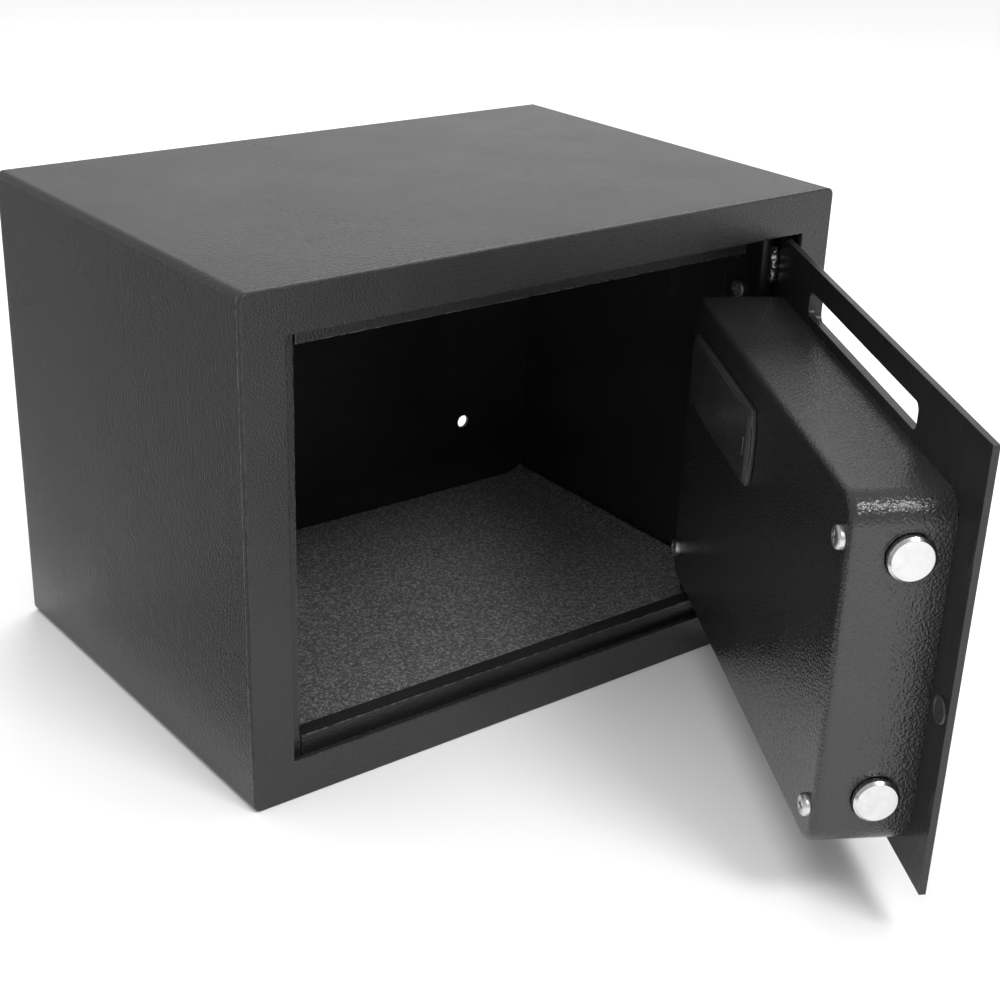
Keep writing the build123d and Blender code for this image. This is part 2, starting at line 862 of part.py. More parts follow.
with BuildPart() as keypad_board:
    with BuildSketch(facing(keypad_board_front, door)):
        with Locations((block_x, drive_z)):
            Rectangle(
                key_pitch_x * key_columns,
                keypad_height - 2 * (keypad_wall + keypad_bend),
            )
    extrude(amount=-keypad_board_wall)
save(keypad_board, "keypad_board")

with BuildPart() as keypad_lights:
    with BuildSketch(facing(keypad_board_front, door)):
        with Locations(*light_places):
            Circle(light_radius)
    extrude(amount=keypad_board_front - keypad_face + light_dome)
    light_tips = keypad_lights.faces().group_by(along(door.y_dir, door))[0]
    fillet(light_tips.edges(), light_dome)
save(keypad_lights, "keypad_lights")


# ---- Override lock and its cap ------------------------------------------------------------------
lock_face = keypad_face - lock_proud

with BuildPart() as lock_cylinder:
    with BuildSketch(facing(lock_face, door)):
        with Locations((lock_x, lock_z)):
            Circle(lock_radius)
            Circle(plug_radius + running_gap, mode=Mode.SUBTRACT)
    extrude(amount=-(lock_back - lock_face))
save(lock_cylinder, "lock_cylinder")

with BuildPart() as lock_plug:
    with BuildSketch(facing(lock_face, door)):
        with Locations((lock_x, lock_z)):
            Circle(plug_radius)
    extrude(amount=-(lock_back + touch_gap - lock_face))
    with BuildSketch(facing(lock_face, door)):
        with Locations((lock_x, lock_z)):
            Rectangle(keyway_width, keyway_height)
    extrude(amount=-keyway_depth, mode=Mode.SUBTRACT)
save(lock_plug, "lock_plug")

with BuildPart() as lock_cam:
    with BuildSketch(facing(lock_back + touch_gap, door)):
        with Locations((lock_x, lock_z - (lock_cam_length - lock_cam_width) / 2)):
            SlotOverall(lock_cam_length, lock_cam_width, rotation=90)
    extrude(amount=-lock_cam_wall)
save(lock_cam, "lock_cam")

with BuildPart() as override_cap:
    with BuildSketch(facing(lock_face - touch_gap, door)):
        with Locations((lock_x, lock_z)):
            Circle(cap_radius)
        with Locations((lock_x, cap_pin_z)):
            Circle(cap_lobe_radius)
        make_hull()
        with Locations((lock_x, cap_pin_z)):
            Circle(cap_pin_radius + running_gap, mode=Mode.SUBTRACT)
    extrude(amount=cap_wall)
    cap_front = override_cap.faces().sort_by(along(door.y_dir, door))[0]
    fillet(cap_front.outer_wire().edges(), cap_round)
save(override_cap, "override_cap")


# ---- Solenoid -----------------------------------------------------------------------------------
plunger_y = (carriage_front + carriage_back) / 2
plunger_low = drive_z + carriage_arm_rise + touch_gap
solenoid_low = plunger_low + solenoid_lift
solenoid_middle = solenoid_low + solenoid_height / 2
solenoid_back = plunger_y + solenoid_depth / 2

with BuildPart() as solenoid_frame:
    with BuildSketch(facing(plate_back, door)):
        with Locations((solenoid_x, solenoid_middle)):
            Rectangle(solenoid_width, solenoid_height)
            Rectangle(
                solenoid_width - 2 * solenoid_wall,
                solenoid_height - 2 * solenoid_wall,
                mode=Mode.SUBTRACT,
            )
    extrude(amount=-(solenoid_back - plate_back))
    with BuildSketch(door.offset(solenoid_low)):
        with Locations((solenoid_x, plunger_y)):
            Circle(plunger_radius + touch_gap)
    extrude(amount=solenoid_height, mode=Mode.SUBTRACT)
save(solenoid_frame, "solenoid_frame")

with BuildPart() as solenoid_coil:
    with BuildSketch(door.offset(solenoid_low + solenoid_wall)):
        with Locations((solenoid_x, plunger_y)):
            Circle(coil_radius)
            Circle(plunger_radius + running_gap, mode=Mode.SUBTRACT)
    extrude(amount=solenoid_height - 2 * solenoid_wall)
save(solenoid_coil, "solenoid_coil")

with BuildPart() as plunger:
    with BuildSketch(door.offset(plunger_low)):
        with Locations((solenoid_x, plunger_y)):
            Circle(plunger_radius)
    extrude(amount=solenoid_lift + solenoid_height + plunger_head)
save(plunger, "solenoid_plunger")


# ---- Batteries, their tray and cover ------------------------------------------------------------
tray_low = cover_back - tray_depth
cell_y = tray_low + tray_wall + cell_radius + running_gap
cell_shift_z = tray_height / 4 - tray_wall / 4

with BuildPart() as battery_tray:
    with BuildSketch(facing(tray_low, door)):
        with Locations((panel_x, panel_z)):
            Rectangle(tray_length, tray_height)
    extrude(amount=-tray_depth)
    with BuildSketch(facing(tray_low + tray_wall, door)):
        with Locations((panel_x, panel_z)):
            Rectangle(tray_length - 2 * tray_wall, tray_height - 2 * tray_wall)
    extrude(amount=-tray_depth, mode=Mode.SUBTRACT)
save(battery_tray, "battery_tray")

with BuildPart() as batteries:
    with BuildSketch(crossing(panel_x - cell_length - running_gap, door)):
        with Locations((cell_y, panel_z + cell_shift_z), (cell_y, panel_z - cell_shift_z)):
            Circle(cell_radius)
    extrude(amount=cell_length)
    with BuildSketch(crossing(panel_x + running_gap, door)):
        with Locations((cell_y, panel_z + cell_shift_z), (cell_y, panel_z - cell_shift_z)):
            Circle(cell_radius)
    extrude(amount=cell_length)
save(batteries, "batteries")

with BuildPart() as battery_contacts:
    tray_inner = tray_length / 2 - tray_wall
    cell_end = cell_length + running_gap
    for side in (-1, 1):
        with BuildSketch(crossing(panel_x + side * tray_inner, door)):
            with Locations((cell_y, panel_z + cell_shift_z), (cell_y, panel_z - cell_shift_z)):
                Rectangle(cell_radius, cell_radius)
        extrude(amount=-side * contact_wall)
        with BuildSketch(crossing(panel_x + side * (tray_inner - contact_wall), door)):
            with Locations((cell_y, panel_z + cell_shift_z), (cell_y, panel_z - cell_shift_z)):
                Circle(contact_nub)
        extrude(amount=-side * (tray_inner - contact_wall - cell_end - running_gap))
save(battery_contacts, "battery_contacts")

panel_length = tray_length + 2 * panel_margin
panel_height = tray_height + 2 * panel_margin
panel_seat = cover_back + touch_gap

with BuildPart() as battery_cover:
    with BuildSketch(facing(panel_seat, door)):
        with Locations((panel_x, panel_z)):
            RectangleRounded(panel_length, panel_height, panel_margin)
    extrude(amount=-panel_rise)
    panel_face = battery_cover.faces().sort_by(along(door.y_dir, door))[-1]
    chamfer(panel_face.edges(), panel_chamfer)
save(battery_cover, "battery_cover")


# ---- Electronics behind the door plate ----------------------------------------------------------
board_front = plate_back + board_standoff
board_back = board_front + board_wall
standoff_x = board_width / 2 - screw_head
standoff_z = board_height / 2 - screw_head
standoff_places = [
    (board_x + side * standoff_x, board_z + level * standoff_z)
    for side in (-1, 1)
    for level in (-1, 1)
]

with BuildPart() as circuit_board:
    with BuildSketch(facing(board_front, door)):
        with Locations((board_x, board_z)):
            Rectangle(board_width, board_height)
    extrude(amount=-board_wall)
    with BuildSketch(facing(plate_back, door)):
        with Locations(*standoff_places):
            Circle(screw_radius)
    extrude(amount=-board_standoff)
save(circuit_board, "circuit_board")

battery_lead_x = board_x + lead_run / 2
solenoid_lead_x = board_x - lead_run / 2
socket_z = board_z + board_height / 2 - socket_width
keypad_socket_x = board_x - board_width / 2 + socket_width

with BuildPart() as board_parts:
    with BuildSketch(facing(board_back, door)):
        with Locations((board_x, board_z)):
            Rectangle(chip_size, chip_size)
    extrude(amount=-chip_height)
    with BuildSketch(facing(board_back, door)):
        with Locations((battery_lead_x, socket_z), (solenoid_lead_x, socket_z)):
            Rectangle(socket_width, socket_width)
        with Locations((keypad_socket_x, board_z)):
            Rectangle(socket_width, socket_width)
    extrude(amount=-socket_height)
    with BuildSketch(facing(board_back, door)):
        with Locations((board_x + board_width / 2 - 2 * buzzer_radius, board_z - buzzer_radius)):
            Circle(buzzer_radius)
    extrude(amount=-socket_height)
save(board_parts, "board_parts")


def lead(points):
    """A round lead along straight runs joined by bends."""
    with BuildPart() as wire:
        with BuildLine() as path:
            FilletPolyline(*[door.from_local_coords(point) for point in points], radius=lead_bend)
        with BuildSketch(Plane(origin=path.line @ 0, z_dir=path.line % 0)):
            Circle(lead_radius)
        sweep()
    return wire.part


lead_y = board_back + socket_height / 2
solenoid_side = solenoid_x + solenoid_width / 2
socket_top = socket_z + socket_width / 2
battery_lead = lead(
    [
        (battery_lead_x, tray_low, panel_z),
        (battery_lead_x, lead_y, panel_z),
        (battery_lead_x, lead_y, socket_top),
    ]
)
solenoid_lead = lead(
    [
        (solenoid_side, lead_y, solenoid_middle),
        (solenoid_lead_x, lead_y, solenoid_middle),
        (solenoid_lead_x, lead_y, socket_top),
    ]
)
keypad_lead = lead(
    [
        (lead_hole[0], keypad_board_front + keypad_board_wall, lead_hole[1]),
        (lead_hole[0], lead_y, lead_hole[1]),
        (keypad_socket_x - socket_width / 2, lead_y, lead_hole[1]),
    ]
)
wire_leads = Compound(children=[battery_lead, solenoid_lead, keypad_lead])
wire_leads.label = "wire_leads"
export_step(wire_leads, "parts/wire_leads.step")
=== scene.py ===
import json
from math import cos, pi, radians, sin

import bmesh
import bpy
from mathutils import Matrix, Vector, noise


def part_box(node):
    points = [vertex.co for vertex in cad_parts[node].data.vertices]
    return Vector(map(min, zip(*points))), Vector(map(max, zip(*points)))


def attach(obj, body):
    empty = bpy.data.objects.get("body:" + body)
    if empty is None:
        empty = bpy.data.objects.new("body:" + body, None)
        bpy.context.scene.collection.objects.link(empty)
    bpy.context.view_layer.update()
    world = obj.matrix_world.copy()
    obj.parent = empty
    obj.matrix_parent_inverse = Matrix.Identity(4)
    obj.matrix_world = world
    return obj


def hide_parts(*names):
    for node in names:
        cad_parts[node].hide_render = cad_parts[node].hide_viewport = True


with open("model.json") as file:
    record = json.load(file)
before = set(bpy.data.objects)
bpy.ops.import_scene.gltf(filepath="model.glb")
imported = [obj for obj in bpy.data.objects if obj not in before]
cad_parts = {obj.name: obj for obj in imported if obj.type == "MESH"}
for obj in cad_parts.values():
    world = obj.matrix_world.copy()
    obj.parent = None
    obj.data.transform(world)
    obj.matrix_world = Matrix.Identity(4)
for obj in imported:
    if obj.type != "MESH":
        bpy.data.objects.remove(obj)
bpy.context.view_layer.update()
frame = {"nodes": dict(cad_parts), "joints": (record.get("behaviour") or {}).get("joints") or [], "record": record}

# A small depository safe with its door open. Everything is in metres in the frame of the CAD.
MM = 0.001
nodes = frame["nodes"]
scene = bpy.context.scene
collection = scene.collection
joints = {joint["name"]: joint for joint in frame["joints"]}

# The door's parts are laid out as if the door were shut: shut_to_rest turns them to the rest pose.
hinge = joints["door_hinge"]
hinge_place = Vector(hinge["pos_m"])
swing = Matrix.Rotation(-radians(hinge["range_deg"][0]), 4, "Z")
shut_to_rest = Matrix.Translation(hinge_place) @ swing @ Matrix.Translation(-hinge_place)
rest_to_shut = shut_to_rest.inverted()


def shut_box(name):
    """Lowest and highest corner of a door part with the door shut."""
    points = [rest_to_shut @ vertex.co for vertex in nodes[name].data.vertices]
    low = Vector(min(point[axis] for point in points) for axis in range(3))
    high = Vector(max(point[axis] for point in points) for axis in range(3))
    return low, high


# ---- Camera -------------------------------------------------------------------------------------
CAMERA_PLACE = Vector((-0.5052, -0.7122, 0.4610))
CAMERA_BEARING = 37.64
CAMERA_DIP = 24.84
CAMERA_ROLL = 1.785
CAMERA_LENS = 62.17
CAMERA_SHIFT = (0.0232, 0.0243)


def add_camera():
    camera = bpy.data.cameras.new("camera")
    camera.lens = CAMERA_LENS
    camera.sensor_width = 36.0
    camera.shift_x, camera.shift_y = CAMERA_SHIFT
    camera.clip_start = 0.01
    holder = bpy.data.objects.new("camera", camera)
    collection.objects.link(holder)
    bearing = Matrix.Rotation(-radians(CAMERA_BEARING), 4, "Z")
    tilt = Matrix.Rotation(radians(90.0 - CAMERA_DIP), 4, "X")
    roll = Matrix.Rotation(radians(CAMERA_ROLL), 4, "Z")
    holder.matrix_world = Matrix.Translation(CAMERA_PLACE) @ bearing @ tilt @ roll
    scene.camera = holder


add_camera()


# ---- Light and floor ----------------------------------------------------------------------------
CEILING_POWER = 1.5
CEILING_SPREAD = 70.0
GLOW_WAY = (0.72, 0.68, 0.14)
GLOW_START = 0.8
SKY_DIM = 0.5
SKY_BRIGHT = 0.85
FLOOR_HALF = 6.0
FLOOR_TONE = 0.94
FLAG_LOW = Vector((-2.6, -0.4, 0.002))
FLAG_HIGH = Vector((-0.2, 2.2, 0.002))
FLAG_TONE = 0.22


def softbox(name, place, target, size, power, mirrored=True):
    """A rectangular area light that faces its target. It may be left out of reflections."""
    light = bpy.data.lights.new(name, "AREA")
    light.shape = "RECTANGLE"
    light.size, light.size_y = size
    light.energy = power
    holder = bpy.data.objects.new(name, light)
    holder.visible_glossy = mirrored
    collection.objects.link(holder)
    aim = (Vector(target) - Vector(place)).to_track_quat("-Z", "Y")
    holder.matrix_world = Matrix.Translation(Vector(place)) @ aim.to_matrix().to_4x4()


softbox("key_light", (0.75, 0.95, 1.2), (0.1, 0.0, 0.1), (1.0, 1.0), 9.0, mirrored=False)
softbox("front_light", (0.1, -1.3, 1.5), (0.1, -0.2, 0.12), (0.5, 0.5), 12.0)
softbox("left_light", (-1.2, -0.9, 1.6), (-0.2, -0.1, 0.0), (0.8, 0.8), 6.0, mirrored=False)


def add_ceiling_light():
    """An even light from straight above that keeps the whole floor white."""
    light = bpy.data.lights.new("ceiling_light", "SUN")
    light.energy = CEILING_POWER
    light.angle = radians(CEILING_SPREAD)
    holder = bpy.data.objects.new("ceiling_light", light)
    holder.visible_glossy = False
    collection.objects.link(holder)


def add_world():
    """A grey studio that grows brighter towards the back on the hinge side."""
    world = bpy.data.worlds.new("studio")
    world.use_nodes = True
    tree = world.node_tree
    back = tree.nodes["Background"]
    back.inputs["Color"].default_value = (1.0, 1.0, 1.0, 1.0)
    way = tree.nodes.new("ShaderNodeTexCoord").outputs["Generated"]
    dot = tree.nodes.new("ShaderNodeVectorMath")
    dot.operation = "DOT_PRODUCT"
    dot.inputs[1].default_value = GLOW_WAY
    glow = tree.nodes.new("ShaderNodeMapRange")
    glow.interpolation_type = "SMOOTHSTEP"
    glow.inputs["From Min"].default_value = GLOW_START
    glow.inputs["From Max"].default_value = 1.0
    glow.inputs["To Min"].default_value = SKY_DIM
    glow.inputs["To Max"].default_value = SKY_BRIGHT
    tree.links.new(way, dot.inputs[0])
    tree.links.new(dot.outputs["Value"], glow.inputs["Value"])
    tree.links.new(glow.outputs["Result"], back.inputs["Strength"])
    scene.world = world


def matt_paint(name, tone, roughness):
    """A plain pale or grey matt paint, with its surface shader."""
    paint = bpy.data.materials.new(name)
    paint.use_nodes = True
    surface = paint.node_tree.nodes["Principled BSDF"]
    surface.inputs["Base Color"].default_value = (tone, tone, tone, 1.0)
    surface.inputs["Roughness"].default_value = roughness
    return paint, surface


def add_floor():
    mesh = bpy.data.meshes.new("floor")
    shape = bmesh.new()
    bmesh.ops.create_grid(shape, x_segments=1, y_segments=1, size=FLOOR_HALF)
    shape.to_mesh(mesh)
    shape.free()
    floor = bpy.data.objects.new("floor", mesh)
    collection.objects.link(floor)
    paint, _ = matt_paint("floor_paint", FLOOR_TONE, 0.9)
    mesh.materials.append(paint)


def add_flag():
    """A grey card lying left of the safe that only reflections see, so the left side stays dark."""
    low, high = FLAG_LOW, FLAG_HIGH
    corners = [low, (high.x, low.y, low.z), high, (low.x, high.y, low.z)]
    mesh = bpy.data.meshes.new("flag")
    mesh.from_pydata([tuple(corner) for corner in corners], [], [(0, 1, 2, 3)])
    flag = bpy.data.objects.new("flag", mesh)
    collection.objects.link(flag)
    flag.visible_camera = False
    flag.visible_diffuse = False
    flag.visible_shadow = False
    flag.visible_transmission = False
    paint, surface = matt_paint("flag_paint", FLAG_TONE, 1.0)
    surface.inputs["Specular IOR Level"].default_value = 0.0
    mesh.materials.append(paint)


scene.view_settings.view_transform = "Standard"
add_ceiling_light()
add_world()
add_floor()
add_flag()


# ---- Materials ----------------------------------------------------------------------------------
class Paint:
    """A node material: a Principled surface, object coordinates, and helpers that add to them."""

    def __init__(self, name, roughness=0.5, metallic=0.0, **sockets):
        self.material = bpy.data.materials.new(name)
        self.material.use_nodes = True
        self.tree = self.material.node_tree
        self.surface = self.tree.nodes["Principled BSDF"]
        self.surface.inputs["Metallic"].default_value = metallic
        self.surface.inputs["Roughness"].default_value = roughness
        for socket, value in sockets.items():
            self.surface.inputs[socket.replace("_", " ")].default_value = value
        self.place = self.tree.nodes.new("ShaderNodeTexCoord").outputs["Object"]

    def noise(self, size, detail=2.0, roughness=0.5, stretch=None):
        """Noise whose features are about that many metres across."""
        source = self.place
        if stretch:
            mapping = self.tree.nodes.new("ShaderNodeMapping")
            mapping.inputs["Scale"].default_value = stretch
            self.tree.links.new(source, mapping.inputs["Vector"])
            source = mapping.outputs["Vector"]
        texture = self.tree.nodes.new("ShaderNodeTexNoise")
        texture.inputs["Scale"].default_value = 1.0 / size
        texture.inputs["Detail"].default_value = detail
        texture.inputs["Roughness"].default_value = roughness
        self.tree.links.new(source, texture.inputs["Vector"])
        return texture.outputs["Fac"]

    def ramp(self, factor, low, high, dark, pale):
        """A colour ramp between two stops."""
        stops = self.tree.nodes.new("ShaderNodeValToRGB")
        stops.color_ramp.elements[0].position = low
        stops.color_ramp.elements[1].position = high
        stops.color_ramp.elements[0].color = (*dark, 1.0)
        stops.color_ramp.elements[1].color = (*pale, 1.0)
        self.tree.links.new(factor, stops.inputs["Fac"])
        return stops.outputs["Color"]

    def span(self, factor, low, high, lowest=0.3, highest=0.7):
        """A number mapped from the middle of a noise's reach to a range."""
        mapped = self.tree.nodes.new("ShaderNodeMapRange")
        mapped.inputs["From Min"].default_value = lowest
        mapped.inputs["From Max"].default_value = highest
        mapped.inputs["To Min"].default_value = low
        mapped.inputs["To Max"].default_value = high
        self.tree.links.new(factor, mapped.inputs["Value"])
        return mapped.outputs["Result"]

    def mix(self, factor, first, second):
        """Two colours mixed by a factor."""
        mixed = self.tree.nodes.new("ShaderNodeMix")
        mixed.data_type = "RGBA"
        self.tree.links.new(factor, mixed.inputs["Factor"])
        self.tree.links.new(first, mixed.inputs[6])
        self.tree.links.new(second, mixed.inputs[7])
        return mixed.outputs[2]

    def colour(self, socket):
        self.tree.links.new(socket, self.surface.inputs["Base Color"])

    def gloss(self, socket):
        self.tree.links.new(socket, self.surface.inputs["Roughness"])

    def round_edges(self, radius):
        """Normals that turn smoothly round the solid's sharp edges."""
        bevel = self.tree.nodes.new("ShaderNodeBevel")
        bevel.samples = 6
        bevel.inputs["Radius"].default_value = radius
        self.edge = bevel.outputs["Normal"]
        return self.edge

    def edge_mask(self, sharpness):
        """Near 1 at rounded edges and 0 on flat faces."""
        place = self.tree.nodes.new("ShaderNodeNewGeometry")
        dot = self.tree.nodes.new("ShaderNodeVectorMath")
        dot.operation = "DOT_PRODUCT"
        self.tree.links.new(self.edge, dot.inputs[0])
        self.tree.links.new(place.outputs["Normal"], dot.inputs[1])
        return self.span(dot.outputs["Value"], 1.0, 0.0, 1.0 - sharpness, 1.0)

    def bumps(self, *layers):
        """Bump layers, each (height, depth in metres), chained from the finest one."""
        normal = getattr(self, "edge", None)
        for height, depth in layers:
            bump = self.tree.nodes.new("ShaderNodeBump")
            bump.inputs["Strength"].default_value = 1.0
            bump.inputs["Distance"].default_value = depth
            self.tree.links.new(height, bump.inputs["Height"])
            if normal:
                self.tree.links.new(normal, bump.inputs["Normal"])
            normal = bump.outputs["Normal"]
        self.tree.links.new(normal, self.surface.inputs["Normal"])


def grey(level):
    return (level, level, level * 1.02)


def powder_coat(name, peel_size, peel_depth, shine, tone, index):
    """Black powder coat: orange peel, fine grit, slow drifts of tone, and paler worn edges."""
    paint = Paint(name, IOR=index)
    paint.round_edges(1.0 * MM)
    peel = paint.noise(peel_size, detail=1.5)
    grit = paint.noise(0.35 * MM, detail=1.0)
    drift = paint.noise(60 * MM, detail=3.0)
    coat = paint.ramp(drift, 0.3, 0.7, grey(tone * 0.85), grey(tone * 1.2))
    speck = paint.ramp(grit, 0.45, 0.75, grey(tone), grey(tone * 2.2))
    coat = paint.mix(paint.span(grit, 0.0, 0.5, 0.5, 0.8), coat, speck)
    worn = paint.ramp(paint.noise(3 * MM, detail=4.0), 0.42, 0.62, grey(tone), grey(0.16))
    paint.colour(paint.mix(paint.edge_mask(0.2), coat, worn))
    paint.gloss(paint.span(drift, shine - 0.03, shine + 0.04))
    paint.bumps((grit, 0.02 * MM), (peel, peel_depth))
    return paint.material


def smooth_enamel(name, tone=0.012, shine=0.28):
    """Smooth black stoving enamel with faint wipe marks and slight waviness."""
    paint = Paint(name)
    paint.round_edges(0.5 * MM)
    wave = paint.noise(9 * MM, detail=2.0)
    dust = paint.noise(1.2 * MM, detail=4.0)
    wiped = paint.noise(12 * MM, detail=5.0, roughness=0.7, stretch=(1.0, 1.0, 0.15))
    base = paint.ramp(wave, 0.3, 0.7, grey(tone), grey(tone * 1.4))
    worn = paint.ramp(paint.noise(3 * MM, detail=4.0), 0.4, 0.65, grey(tone), grey(0.07))
    paint.colour(paint.mix(paint.edge_mask(0.2), base, worn))
    paint.gloss(paint.span(wiped, shine - 0.04, shine + 0.09))
    paint.bumps((dust, 0.01 * MM), (wave, 0.05 * MM))
    return paint.material


def bare_metal(name, tone, shine, grain, grain_depth, stretch=None):
    """Plated or plain metal with fine grain, mottled gloss and faint stains."""
    paint = Paint(name, metallic=1.0)
    paint.round_edges(0.35 * MM)
    fine = paint.noise(grain, detail=4.0, roughness=0.6, stretch=stretch)
    mottle = paint.noise(3 * MM, detail=4.0)
    paint.colour(paint.ramp(mottle, 0.3, 0.7, [level * 0.86 for level in tone], tone))
    paint.gloss(paint.span(mottle, shine - 0.05, shine + 0.08))
    paint.bumps((fine, grain_depth))
    return paint.material


def moulded_plastic(name, tone, shine, grain_depth=0.02 * MM, edge=0.35 * MM, edge_highlight=0.01):
    """Moulded plastic with a spark-eroded grain and paler edges: slight wear plus a painted edge highlight, set by
    the last argument.
    """
    paint = Paint(name)
    paint.round_edges(edge)
    grain = paint.noise(0.5 * MM, detail=3.0)
    drift = paint.noise(20 * MM, detail=3.0)
    base = paint.ramp(drift, 0.3, 0.7, [level * 0.85 for level in tone], [level * 1.15 for level in tone])
    # Partly wear, partly painted highlight: the edges are mixed towards a paler grey.
    worn_and_highlit_edge = paint.ramp(grain, 0.3, 0.7, tone, [level * 1.8 + edge_highlight for level in tone])
    paint.colour(paint.mix(paint.edge_mask(0.3), base, worn_and_highlit_edge))
    paint.gloss(paint.span(grain, shine - 0.05, shine + 0.08))
    paint.bumps((grain, grain_depth))
    return paint.material


def needled_felt(name):
    """Dark felt: matted fibres with pale flecks."""
    paint = Paint(name, roughness=1.0, Sheen_Weight=0.25, Sheen_Roughness=0.6)
    fibres = paint.noise(0.9 * MM, detail=6.0, roughness=0.75)
    clumps = paint.noise(4 * MM, detail=4.0, roughness=0.7)
    flecks = paint.noise(1.5 * MM, detail=5.0, roughness=0.8)
    base = paint.ramp(clumps, 0.35, 0.65, grey(0.02), grey(0.06))
    fleck = paint.ramp(flecks, 0.47, 0.6, grey(0.02), grey(0.42))
    paint.colour(paint.mix(paint.span(fibres, 0.2, 1.0, 0.4, 0.55), base, fleck))
    paint.bumps((fibres, 0.5 * MM), (clumps, 0.4 * MM))
    return paint.material


def solder_mask(name):
    """Green board laminate with faint copper tracks."""
    paint = Paint(name, Coat_Weight=0.3)
    tracks = paint.noise(1.5 * MM, detail=0.0, stretch=(1.0, 1.0, 0.1))
    weave = paint.noise(0.4 * MM, detail=3.0)
    paint.colour(paint.ramp(tracks, 0.48, 0.52, (0.008, 0.09, 0.03), (0.02, 0.17, 0.06)))
    paint.gloss(paint.span(weave, 0.25, 0.45))
    paint.bumps((tracks, 0.03 * MM))
    return paint.material


def wound_wire(name):
    """Enamelled copper wire wound round an upright axis."""
    paint = Paint(name, metallic=0.8)
    turns = paint.noise(0.6 * MM, detail=1.0, stretch=(0.02, 0.02, 1.0))
    paint.colour(paint.ramp(turns, 0.3, 0.7, (0.25, 0.07, 0.02), (0.7, 0.3, 0.12)))
    paint.gloss(paint.span(turns, 0.25, 0.5))
    paint.bumps((turns, 0.15 * MM))
    return paint.material


coat = powder_coat("powder_coat", 0.9 * MM, 0.36 * MM, 0.24, 0.021, 1.45)
cover_coat = powder_coat("cover_powder_coat", 1.2 * MM, 0.42 * MM, 0.18, 0.02, 1.6)
enamel = smooth_enamel("door_enamel")
chrome = bare_metal("chrome", (0.7, 0.7, 0.71), 0.22, 0.8 * MM, 0.03 * MM)
zinc = bare_metal("zinc_plate", (0.74, 0.74, 0.76), 0.4, 0.5 * MM, 0.03 * MM)
steel = bare_metal("plain_steel", (0.42, 0.42, 0.43), 0.4, 0.6 * MM, 0.02 * MM, (1.0, 1.0, 0.1))
weld = bare_metal("weld_metal", (0.62, 0.6, 0.57), 0.28, 0.7 * MM, 0.08 * MM)
brass = bare_metal("nickelled_brass", (0.72, 0.62, 0.42), 0.28, 0.5 * MM, 0.02 * MM)
plastic = moulded_plastic("black_plastic", (0.016, 0.016, 0.0165), 0.36)
# The battery lid and the plate plug get edges paled towards a pale grey: a painted highlight.
lid_plastic = moulded_plastic("lid_plastic", (0.034, 0.034, 0.0345), 0.2, edge=0.35 * MM, edge_highlight=0.45)
knob_plastic = moulded_plastic("knob_plastic", (0.02, 0.02, 0.021), 0.3, 0.008 * MM)
rubber = moulded_plastic("key_rubber", (0.11, 0.11, 0.115), 0.62)
sleeve = moulded_plastic("lead_sleeve", (0.16, 0.012, 0.012), 0.5)
wrap = moulded_plastic("cell_wrap", (0.05, 0.05, 0.055), 0.3, 0.005 * MM)
lens = moulded_plastic("light_lens", (0.05, 0.22, 0.07), 0.15, 0.002 * MM)
print_ink = moulded_plastic("print_ink", (0.75, 0.75, 0.75), 0.5, 0.004 * MM)
felt = needled_felt("needled_felt")
laminate = solder_mask("solder_mask")
windings = wound_wire("wound_wire")

SLOT_PAINTS = {
    "black_powder_coat": coat,
    "door_paint": enamel,
    "weld_metal": weld,
    "grey_felt": felt,
    "bright_zinc": zinc,
    "polished_chrome": chrome,
    "plain_steel": steel,
    "black_plastic": plastic,
    "knob_plastic": knob_plastic,
    "key_rubber": rubber,
    "lock_brass": brass,
    "board_laminate": laminate,
    "coil_wire": windings,
    "cell_wrap": wrap,
    "light_lens": lens,
    "lead_sleeve": sleeve,
}
NODE_PAINTS = {"lock_cover": cover_coat}

for part in frame["record"]["subparts"]:
    node = nodes[part["node"]]
    paint = NODE_PAINTS.get(part["node"], SLOT_PAINTS[part["material_slot"]])
    if not node.material_slots:
        node.data.materials.append(paint)
    for holder in node.material_slots:
        holder.material = paint


# ---- Mesh helpers -------------------------------------------------------------------------------
def piece(name, shape, paint, body, door_part=False, smooth=True):
    """Turns a bmesh into a piece that rides on a body. A door part is laid out with the door shut."""
    mesh = bpy.data.meshes.new(name)
    bmesh.ops.recalc_face_normals(shape, faces=shape.faces)
    if door_part:
        shape.transform(shut_to_rest)
    shape.to_mesh(mesh)
    shape.free()
    mesh.materials.append(paint)
    for face in mesh.polygons:
        face.use_smooth = smooth
    thing = bpy.data.objects.new(name, mesh)
    collection.objects.link(thing)
    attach(thing, body)
    return thing


def lathe(shape, profile, origin, axis, across, turns=48):
    """Adds a solid of revolution: the profile's points are (radius, distance along the axis)."""
    side = axis.cross(across)
    rings = []
    for radius, reach in profile:
        centre = origin + axis * reach
        if radius == 0.0:
            rings.append([shape.verts.new(centre)])
            continue
        ring = []
        for step in range(turns):
            angle = 2 * pi * step / turns
            ring.append(shape.verts.new(centre + radius * (across * cos(angle) + side * sin(angle))))
        rings.append(ring)
    for low, high in zip(rings, rings[1:]):
        for step in range(turns):
            after = (step + 1) % turns
            corners = [low[step % len(low)], low[after % len(low)]]
            corners += [high[after % len(high)], high[step % len(high)]]
            corners = list(dict.fromkeys(corners))
            if len(corners) > 2:
                shape.faces.new(corners)


def rounded_outline(low, high, radius, steps=6):
    """Points round a rectangle with rounded corners, as (across, up) pairs."""
    corners = [
        (high[0] - radius, high[1] - radius, 0.0),
        (low[0] + radius, high[1] - radius, 90.0),
        (low[0] + radius, low[1] + radius, 180.0),
        (high[0] - radius, low[1] + radius, 270.0),
    ]
    points = []
    for across, up, start in corners:
        for step in range(steps + 1):
            angle = radians(start + 90.0 * step / steps)
            points.append((across + radius * cos(angle), up + radius * sin(angle)))
    return points


